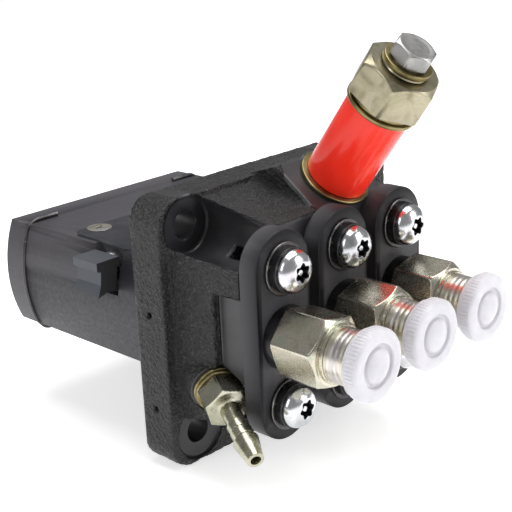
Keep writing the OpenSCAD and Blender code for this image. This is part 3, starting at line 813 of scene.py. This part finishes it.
def cover_plate():
    r = 0.8
    x1, y0, y1 = 31.6, 2.2, 32.0
    outline = []
    corners = ((x1 - r, y1 - r, 0), (-x1 + r, y1 - r, 90), (-x1 + r, y0 + r, 180), (x1 - r, y0 + r, 270))
    for cx, cy, a0 in corners:
        for k in range(5):
            a = math.radians(a0 + 22.5 * k)
            outline.append((cx + r * math.cos(a), cy + r * math.sin(a)))
    flat = Matrix.Translation((0, 0, SPIGOT_TOP))
    dress(slab("cover_sheet", outline, 0, 1.3, flat, 0.2), "plate",
          stands_for=("cover_plate",))
    for side, x in (("left", -25.7), ("right", 25.7)):
        def cross(r_slot, r_web, a0=math.radians(20)):
            return lambda a: r_web + (r_slot - r_web) * abs(math.cos(2 * (a - a0))) ** 14
        where = Matrix.Translation((x, 29, SPIGOT_TOP))
        rows = [(-5, 1.4), (-4.8, 1.65), (0.0, 1.65), (0.4, 2.2), (1.2, 3.45), (1.32, 3.5), (1.36, 3.4)]
        rows += [(1.38, 3.0), (1.38, cross(2.05, 0.75)), (1.3, cross(1.95, 0.68)), (0.6, cross(1.1, 0.45))]
        rows += [(0.3, cross(0.7, 0.35))]
        dress(turned(f"plate_screw_{side}", rows, where, 96), "neck",
              stands_for=("plate_screws",))


def rack_block():
    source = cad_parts["rack_end"]
    piece = bpy.data.objects.new("rack_driver", source.data.copy())
    bpy.context.scene.collection.objects.link(piece)
    edge = piece.modifiers.new("edge", "BEVEL")
    edge.width = 0.35 * MM
    edge.segments = 3
    edge.limit_method = "ANGLE"
    edge.angle_limit = math.radians(25)
    applied(piece)
    smooth(piece.data, 40)
    dress(piece, "rack", "rack", ("rack_end",))
    # painted shade: faces turned towards the flange (-Y) get the near-black material
    piece.data.materials.append(M["painted_shade"])
    for face in piece.data.polygons:
        if face.normal.y < -0.7:
            face.material_index = 1


def coil(name, x, y0, y1, mean_r, wire_r, turns, steps=28):
    path = []
    total = int(turns * steps)
    for k in range(total + 1):
        t = k / total
        a = TAU * turns * t
        ease = t * turns
        flat = min(1.0, ease) * 0.5 if ease < 1 else 0.5 + (ease - 1)
        if turns - ease < 1:
            flat = turns - 1.0 - (turns - ease) * 0.5
        share = flat / (turns - 1.0)
        y = y0 + wire_r + (y1 - y0 - 2 * wire_r) * share
        path.append(Vector((x + mean_r * math.cos(a), y, OUTLET_Z + mean_r * math.sin(a))))
    return tube(name, path, wire_r, 10)


def springs():
    for i, x in enumerate(OUTLET_X):
        big = coil(f"plunger_coil_{i + 1}", x, 21.6, 41.8, 8.2, 0.78, 5.5)
        dress(big, "coil", "housing", (f"plunger_spring_{i + 1}",))
        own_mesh(big)
        small = coil(f"delivery_coil_{i + 1}", x, -43.8, -29.7, 2.8, 0.55, 6.5, 20)
        dress(small, "coil", "housing", (f"delivery_spring_{i + 1}",))
        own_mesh(small)


def carried_over():
    """Materials for the CAD nodes that are shown as they are."""
    for name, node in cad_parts.items():
        if name.startswith("roller") and not name.startswith("roller_pin"):
            key = "roller"
        elif name.startswith(("lower_seat", "upper_seats")):
            key = "coil"
        else:
            key = "ground"
        node.data.materials.clear()
        node.data.materials.append(M[key])


# --- studio ---

def studio():
    scene = bpy.context.scene
    right = Vector((0.68929, -0.72319, -0.04334))
    up = Vector((0.26122, 0.19228, 0.94593))
    back = right.cross(up).normalized()
    view = Matrix((right, up, back)).transposed().to_4x4()
    view.translation = (-0.21916, -0.22161, 0.11599)
    camera = bpy.data.objects.new("camera", bpy.data.cameras.new("camera"))
    camera.data.lens = 82.53
    camera.data.sensor_width = 36
    camera.data.clip_start = 0.01
    camera.data.clip_end = 20
    camera.matrix_world = view
    scene.collection.objects.link(camera)
    scene.camera = camera

    world = bpy.data.worlds.new("studio")
    world.use_nodes = True
    world.node_tree.nodes["Background"].inputs["Color"].default_value = (1.0, 1.0, 1.0, 1.0)
    world.node_tree.nodes["Background"].inputs["Strength"].default_value = 0.3
    scene.world = world
    scene.view_settings.view_transform = "Standard"

    def softbox(name, at, size, power, target=(0, 0, 0)):
        light = bpy.data.lights.new(name, "AREA")
        light.shape = "RECTANGLE"
        light.size, light.size_y = size
        light.energy = power
        obj = bpy.data.objects.new(name, light)
        obj.location = at
        obj.rotation_euler = (Vector(target) - Vector(at)).to_track_quat("-Z", "Y").to_euler()
        scene.collection.objects.link(obj)

    softbox("top", (0.15, 0.0, 0.9), (0.8, 0.8), 9)
    softbox("front", (0.45, -0.75, 0.4), (0.35, 0.6), 3.6)
    softbox("left", (-0.9, 0.1, 0.5), (0.3, 0.6), 1.8)

    n = 24
    verts = [Vector(((k - n / 2) / n * FLOOR_SIZE, (j - n / 2) / n * FLOOR_SIZE, FLOOR_Z))
             for j in range(n + 1) for k in range(n + 1)]
    faces = [(j * (n + 1) + k, j * (n + 1) + k + 1, (j + 1) * (n + 1) + k + 1, (j + 1) * (n + 1) + k)
             for j in range(n) for k in range(n)]
    floor = finish_mesh("floor", verts, faces)
    s = Shader("floor_white")
    tone = s.ramp(s.noise(6), [(0.3, 0.9), (0.7, 0.93)])
    s.set(Base_Color=tone, Roughness=0.8, Emission_Color=tone, Emission_Strength=0.62)
    floor.data.materials.append(s.material)


carried_over()
studio()
casting_front()
casting_spigot()
barrel_flanges()
flange_screws()
valve_holders()
caps()
inlet()
nipple()
wire_clip()
cover_plate()
rack_block()
springs()
